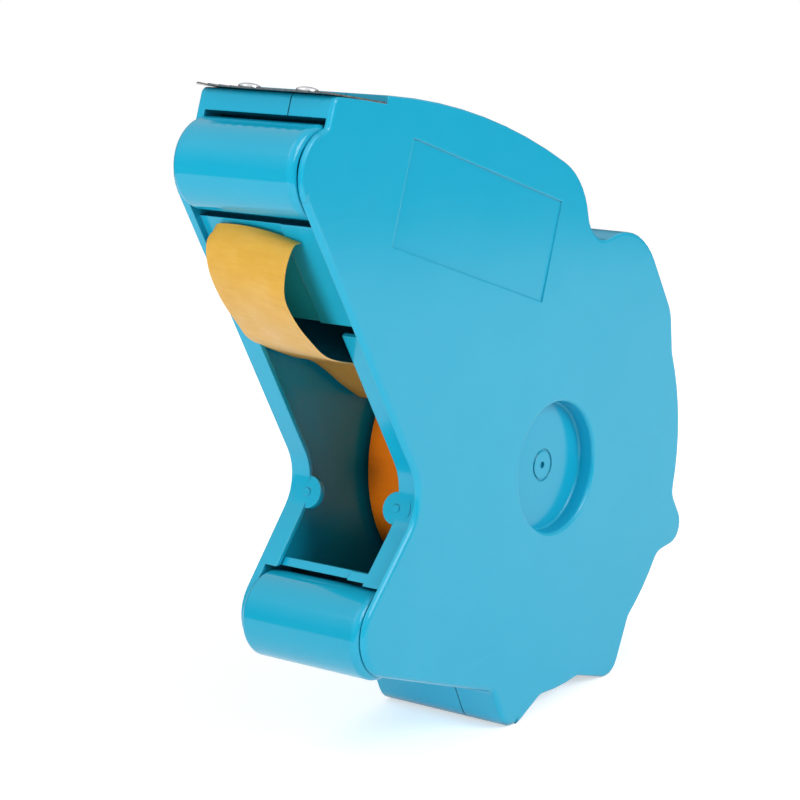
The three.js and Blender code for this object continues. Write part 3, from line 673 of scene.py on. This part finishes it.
def tape_tail():
    low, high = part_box("tape_tail")

    def edge(route, x_at_roll):
        front = [on_notch(*place) for place in route]
        x_at_window = route[-1][0]
        inside = []
        for i, (y, z) in enumerate(TAIL_INSIDE):
            share = min(1.0, (i + 1) / SPREAD_STEPS)
            inside.append(at(x_at_window + (x_at_roll - x_at_window) * share, y, z))
        return even_way(front + inside, TAIL_ALONG)

    far, near = edge(FAR_EDGE, low.x / MM), edge(NEAR_EDGE, high.x / MM)
    upward = at(0, *(-NOTCH_ALONG)) - at(0, 0, 0)
    tape_width = width("tape_roll").x
    bm = bmesh.new()
    layer = bm.loops.layers.uv.new("UVMap")
    length = sum((b - a).length for a, b in zip(far, far[1:]))
    rows = []
    for j in range(TAIL_ALONG + 1):
        row = []
        for i in range(TAIL_ACROSS + 1):
            across = i / TAIL_ACROSS
            fade = max(0.0, 1 - j / (TAIL_ALONG * BOW_FADES_BY)) ** 2
            bow = upward * END_BOW * 4 * across * (1 - across) * fade
            from_far = across * tape_width / MM
            rounding = max(0.0, END_CORNER - from_far)
            cut_back = END_CORNER - sqrt(max(0.0, END_CORNER**2 - rounding**2))
            drop = upward * cut_back * fade**CORNER_FADE * CORNER_DROP
            row.append(bm.verts.new(far[j].lerp(near[j], across) + bow - drop))
        rows.append(row)
    for j, (a, b) in enumerate(zip(rows, rows[1:])):
        for i in range(TAIL_ACROSS):
            face = bm.faces.new((a[i], a[i + 1], b[i + 1], b[i]))
            corners = ((i, j), (i + 1, j), (i + 1, j + 1), (i, j + 1))
            for loop, (u, v) in zip(face.loops, corners):
                loop[layer].uv = (u / TAIL_ACROSS * tape_width, v / TAIL_ALONG * length)
    return piece("tape_loose_end", bm, "case", "tape_paper", tape_paper,
                 smooth_below=60.0, stands_for=("tape_tail",),
                 modifiers=[("SOLIDIFY", {"thickness": TAIL_THICKNESS * MM, "offset": 0.0})])


tape_tail()

# Blade on its seat, in the seat's own frame: x across, y along, z up
SEAT_START = (-98.1, 55.75)
SEAT_SLOPE = radians(8.8)
SEAT_TO_ROW = CASE_TO_ROW @ Matrix.Translation((0, *SEAT_START)) @ Matrix.Rotation(SEAT_SLOPE, 4, "X")
BLADE_WIDTH = 33.0
BLADE_BACK = 15.6
BLADE_OVERHANG = 2.7
TOOTH_PITCH = 2.75
TOOTH_DEPTH = 1.1
TOOTH_TIP = (0.42, 0.58)
TOOTH_BLUNT = 0.05
BLADE_FLOOR = 0.02
BLADE_THICKNESS = 0.3
# The strip's far front corner is bent up a little: outwards of BEND_START, and in front of BEND_FRONT by
# more the nearer it comes to BEND_BACK before it
BLADE_PARTS = 12
CUT_WITHIN = 0.0001
BEND_LIFT = 0.35
BEND_START = 2.0
BEND_FRONT, BEND_BACK = 1.0, 3.7


def blade():
    bm = bmesh.new()
    teeth = round(BLADE_WIDTH / TOOTH_PITCH)
    pitch = BLADE_WIDTH / teeth
    front = []
    for i in range(teeth):
        left = -BLADE_WIDTH / 2 + i * pitch
        front.append((left, TOOTH_DEPTH - BLADE_OVERHANG))
        front += [(left + share * pitch, TOOTH_BLUNT - BLADE_OVERHANG) for share in TOOTH_TIP]
    front.append((BLADE_WIDTH / 2, TOOTH_DEPTH - BLADE_OVERHANG))
    outline = [*front, (BLADE_WIDTH / 2, BLADE_BACK), (-BLADE_WIDTH / 2, BLADE_BACK)]
    face = bm.faces.new([bm.verts.new((x, y, BLADE_FLOOR)) for x, y in outline])
    raised = bmesh.ops.extrude_face_region(bm, geom=[face])["geom"]
    bmesh.ops.translate(bm, verts=[v for v in raised if isinstance(v, bmesh.types.BMVert)],
                        vec=(0, 0, BLADE_THICKNESS))
    for cut in range(1, BLADE_PARTS):
        bmesh.ops.bisect_plane(bm, geom=[*bm.verts, *bm.edges, *bm.faces], dist=CUT_WITHIN,
                               plane_co=(BLADE_WIDTH * (cut / BLADE_PARTS - 0.5), 0, 0), plane_no=(1, 0, 0))
    for vert in bm.verts:
        outward = max(0.0, (-vert.co.x - BEND_START) / (BLADE_WIDTH / 2 - BEND_START))
        forward = max(0.0, (BEND_FRONT - vert.co.y) / BEND_BACK)
        vert.co.z += BEND_LIFT * (outward * forward)**2
    bmesh.ops.transform(bm, matrix=SEAT_TO_ROW, verts=bm.verts)
    return piece("cutter_blade_strip", bm, "case", "blade_steel", blade_steel,
                 smooth_below=30.0, stands_for=("cutter_blade",))


blade()

# Screws: a pan head with a cross recess on a plain shank
HEAD_STEPS = 48
DOME_STEPS = 8
# Shares of the head's height, of the shank's radius and length, and of the recess's reach
RIM_SHARE = 0.35
TIP_RADIUS_SHARE, TIP_START_SHARE = 0.6, 0.9
RECESS_WIDTH_SHARE = 0.5
RECESS_FLOOR_LENGTH, RECESS_FLOOR_WIDTH = 0.35, 0.6


def screw(name, frame_matrix, head_radius, head_height, shank_radius, shank_length, recess_reach,
          recess_depth):
    """Drawn with its head's underside on z = 0 and its shank down, then placed by the matrix."""
    rim = head_height * RIM_SHARE
    turns = [k * pi / 2 / DOME_STEPS for k in range(DOME_STEPS)]
    dome = [(head_radius * cos(t), rim + (head_height - rim) * sin(t)) for t in turns]
    profile = [(0, -shank_length), (shank_radius * TIP_RADIUS_SHARE, -shank_length),
               (shank_radius, -shank_length * TIP_START_SHARE), (shank_radius, 0), (head_radius, 0),
               *dome, (0, head_height)]
    bm = bmesh.new()
    chain = [bm.verts.new((r, 0, z)) for r, z in profile]
    edges = [bm.edges.new(pair) for pair in zip(chain, chain[1:])]
    bmesh.ops.spin(bm, geom=chain + edges, cent=(0, 0, 0), axis=(0, 0, 1), angle=2 * pi, steps=HEAD_STEPS,
                   use_merge=True)
    bmesh.ops.remove_doubles(bm, verts=bm.verts, dist=SPIN_MERGE_WITHIN)
    bmesh.ops.transform(bm, matrix=frame_matrix, verts=bm.verts)
    made = piece(f"{name}_pan_head", bm, "case", "bright_steel", bright_steel,
                 smooth_below=40.0, stands_for=(name,))
    cutter = bmesh.new()
    for turn in (0, pi / 2):
        cube = bmesh.ops.create_cube(cutter, size=1)["verts"]
        size = (recess_reach * 2, recess_reach * RECESS_WIDTH_SHARE, recess_depth * 2)
        bmesh.ops.scale(cutter, vec=size, verts=cube)
        for vert in cube:
            if vert.co.z < 0:
                vert.co.x *= RECESS_FLOOR_LENGTH
                vert.co.y *= RECESS_FLOOR_WIDTH
        bmesh.ops.rotate(cutter, cent=(0, 0, 0), matrix=Matrix.Rotation(turn, 3, "Z"), verts=cube)
        bmesh.ops.translate(cutter, vec=(0, 0, head_height), verts=cube)
    bmesh.ops.transform(cutter, matrix=frame_matrix, verts=cutter.verts)
    bmesh.ops.recalc_face_normals(cutter, faces=cutter.faces)
    tool = mesh_object(f"{name}_cutter", cutter)
    cut = made.modifiers.new("recess", "BOOLEAN")
    cut.operation = "DIFFERENCE"
    cut.solver = "EXACT"
    cut.use_self = True
    cut.object = tool
    bpy.context.view_layer.update()
    solid = bpy.data.meshes.new_from_object(made.evaluated_get(bpy.context.evaluated_depsgraph_get()))
    made.modifiers.clear()
    made.data = solid
    bpy.data.objects.remove(tool)
    return made


BLADE_SCREW = {"head_radius": 2.2, "head_height": 1.0, "shank_radius": 0.7, "shank_length": 3.2,
               "recess_reach": 1.1, "recess_depth": 0.5}
BLADE_SCREW_BACK = 2.6
BLADE_SCREW_LIFT = 0.05
CASE_SCREW = {"head_radius": 2.6, "head_height": 1.7, "shank_radius": 1.25, "recess_reach": 1.5,
              "recess_depth": 0.8}

for side in ("cover", "base"):
    floor = BLADE_FLOOR + BLADE_THICKNESS + BLADE_SCREW_LIFT
    across = middle(f"blade_screw_{side}").x / MM
    matrix = SEAT_TO_ROW @ Matrix.Translation((across, BLADE_SCREW_BACK, floor))
    screw(f"blade_screw_{side}", matrix, **BLADE_SCREW)

for name in ("case_screw_top", "case_screw_back", "case_screw_foot"):
    low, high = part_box(name)
    centre = (low + high) / 2
    underside = low.x + CASE_SCREW["head_height"] * MM
    matrix = (Matrix.Translation((underside, centre.y, centre.z)) @ Matrix.Rotation(-pi / 2, 4, "Y")
              @ Matrix.Scale(MM, 4))
    screw(name, matrix, shank_length=(high.x - underside) / MM, **CASE_SCREW)


# Pieces that keep their CAD shape: modifiers merge the loose triangles and shade them smooth
SMOOTH_BELOW = 35


def smooth_by_angle():
    tree = bpy.data.node_groups.new("smooth_by_angle", "GeometryNodeTree")
    tree.interface.new_socket("Geometry", in_out="INPUT", socket_type="NodeSocketGeometry")
    tree.interface.new_socket("Geometry", in_out="OUTPUT", socket_type="NodeSocketGeometry")
    given = tree.nodes.new("NodeGroupInput")
    out = tree.nodes.new("NodeGroupOutput")
    faces = tree.nodes.new("GeometryNodeSetShadeSmooth")
    edges = tree.nodes.new("GeometryNodeSetShadeSmooth")
    edges.domain = "EDGE"
    angle = tree.nodes.new("GeometryNodeInputMeshEdgeAngle")
    compare = tree.nodes.new("FunctionNodeCompare")
    compare.operation = "LESS_THAN"
    compare.inputs["B"].default_value = radians(SMOOTH_BELOW)
    tree.links.new(given.outputs[0], faces.inputs["Geometry"])
    tree.links.new(faces.outputs[0], edges.inputs["Geometry"])
    tree.links.new(angle.outputs["Unsigned Angle"], compare.inputs["A"])
    tree.links.new(compare.outputs["Result"], edges.inputs["Shade Smooth"])
    tree.links.new(edges.outputs[0], out.inputs[0])
    return tree


SMOOTH = smooth_by_angle()


def dress(name, material):
    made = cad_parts[name]
    made.data.materials.clear()
    made.data.materials.append(material)
    weld = made.modifiers.new("weld", "WELD")
    weld.merge_threshold = MERGE_WITHIN * MM
    smooth = made.modifiers.new("smooth", "NODES")
    smooth.node_group = SMOOTH


for level in ("upper", "lower"):
    dress(f"{level}_roller_axle", bright_steel)
    for side in ("base", "cover"):
        dress(f"{level}_roller_plug_{side}", plug_plastic)
dress("tape_hub", hub_plastic)
dress("tape_core", core_card)


# Stage: a white table in an unlit room, three soft lamps and the photograph's camera
TABLE_RADIUS = 0.55
TABLE_SIDES = 96
TABLE_WHITE = (0.9, 0.9, 0.9, 1)
TABLE_GLOW = 0.55
ROOM_RADIUS = 1.6
ROOM_SIDES = 64
ROOM_HEIGHT = 1.2
ROOM_DIM_BELOW = 0.3
ROOM_DIM = 0.14
ROOM_WHITE = (0.9, 0.95, 1, 1)
WORLD_STRENGTH = 0.42


def bare_material(name):
    """A stage material's tree and its surface socket."""
    made = bpy.data.materials.new(name)
    made.use_nodes = True
    tree = made.node_tree
    tree.nodes.clear()
    return made, tree, node(tree, "ShaderNodeOutputMaterial").inputs["Surface"]


def seen_or_mirrored(tree):
    """1 for what the camera sees, straight or by a reflection, and 0 for what only lights."""
    path = node(tree, "ShaderNodeLightPath")
    mirrored = sums(tree, "MAXIMUM", path.outputs["Is Glossy Ray"], path.outputs["Is Transmission Ray"])
    return sums(tree, "MAXIMUM", path.outputs["Is Camera Ray"], mirrored)


def stage_floor():
    bm = bmesh.new()
    bmesh.ops.create_circle(bm, cap_ends=True, segments=TABLE_SIDES, radius=TABLE_RADIUS)
    table = mesh_object("table", bm)
    made, tree, surface = bare_material("white_table")
    diffuse = node(tree, "ShaderNodeBsdfDiffuse")
    diffuse.inputs["Color"].default_value = TABLE_WHITE
    glow = node(tree, "ShaderNodeEmission")
    join(tree, sums(tree, "MULTIPLY", seen_or_mirrored(tree), TABLE_GLOW), glow.inputs["Strength"])
    both = node(tree, "ShaderNodeAddShader")
    join(tree, diffuse.outputs[0], both.inputs[0])
    join(tree, glow.outputs[0], both.inputs[1])
    join(tree, both.outputs[0], surface)
    table.data.materials.append(made)


def stage_room():
    """The unlit studio beyond the table, seen only in reflections."""
    bm = bmesh.new()
    bmesh.ops.create_cone(bm, cap_ends=False, segments=ROOM_SIDES, radius1=ROOM_RADIUS,
                          radius2=ROOM_RADIUS, depth=ROOM_HEIGHT * 2)
    room = mesh_object("room", bm)
    made, tree, surface = bare_material("unlit_room")
    glow = node(tree, "ShaderNodeEmission")
    glow.inputs["Color"].default_value = ROOM_WHITE
    height = node(tree, "ShaderNodeSeparateXYZ")
    join(tree, object_place(tree), height.inputs[0])
    strength = ranged(tree, height.outputs["Z"], ROOM_DIM_BELOW, ROOM_HEIGHT, ROOM_DIM, 1)
    join(tree, strength, glow.inputs["Strength"])
    join(tree, glow.outputs[0], surface)
    room.data.materials.append(made)
    room.visible_camera = False
    room.visible_diffuse = False
    room.visible_shadow = False
    room.visible_transmission = False


def light_world():
    world = bpy.data.worlds.new("studio")
    bpy.context.scene.world = world
    world.use_nodes = True
    tree = world.node_tree
    back = tree.nodes["Background"]
    back.inputs["Color"].default_value = (1, 1, 1, 1)
    join(tree, ranged(tree, seen_or_mirrored(tree), 0, 1, WORLD_STRENGTH, 1), back.inputs["Strength"])


def lamp(name, place, aim, size, power):
    data = bpy.data.lights.new(name, "AREA")
    data.shape = "RECTANGLE"
    data.size, data.size_y = size
    data.energy = power
    made = linked(name, data)
    way = Vector(aim) - Vector(place)
    made.matrix_world = Matrix.Translation(place) @ way.to_track_quat("-Z", "Y").to_matrix().to_4x4()
    return made


CAMERA_AZIMUTH = radians(37.98)
CAMERA_ELEVATION = radians(14.17)
CAMERA_ROLL = radians(-2.02)
CAMERA_DISTANCE = 0.50775
CAMERA_TARGET = Vector((0.0165, -0.03738, 0.07964))
CAMERA_LENS = 116.87
CAMERA_SENSOR = 36
CAMERA_NEAR = 0.01


def camera():
    data = bpy.data.cameras.new("camera")
    made = linked("camera", data)
    bpy.context.scene.camera = made
    data.sensor_width = CAMERA_SENSOR
    data.lens = CAMERA_LENS
    data.clip_start = CAMERA_NEAR
    az, el = CAMERA_AZIMUTH, CAMERA_ELEVATION
    back = Vector((sin(az) * cos(el), -cos(az) * cos(el), sin(el)))
    right = Vector((cos(az), sin(az), 0))
    up = back.cross(right)
    level_right = right * cos(CAMERA_ROLL) + up * sin(CAMERA_ROLL)
    level_up = up * cos(CAMERA_ROLL) - right * sin(CAMERA_ROLL)
    turn = Matrix((level_right, level_up, back)).transposed().to_4x4()
    made.matrix_world = Matrix.Translation(CAMERA_TARGET + back * CAMERA_DISTANCE) @ turn


stage_floor()
stage_room()
light_world()
lamp("key_softbox", place=(-0.25, -0.55, 0.95), aim=(0, -0.03, 0.07), size=(0.7, 0.7), power=1.9)
lamp("side_softbox", place=(0.95, 0.1, 0.6), aim=(0, 0, 0.07), size=(0.6, 0.6), power=6.3)
front = lamp("front_softbox", place=(0.05, -0.85, 0.04), aim=(0, -0.05, 0.06), size=(0.24, 0.3), power=3.8)
front.visible_glossy = False
camera()
bpy.context.scene.view_settings.view_transform = "Standard"
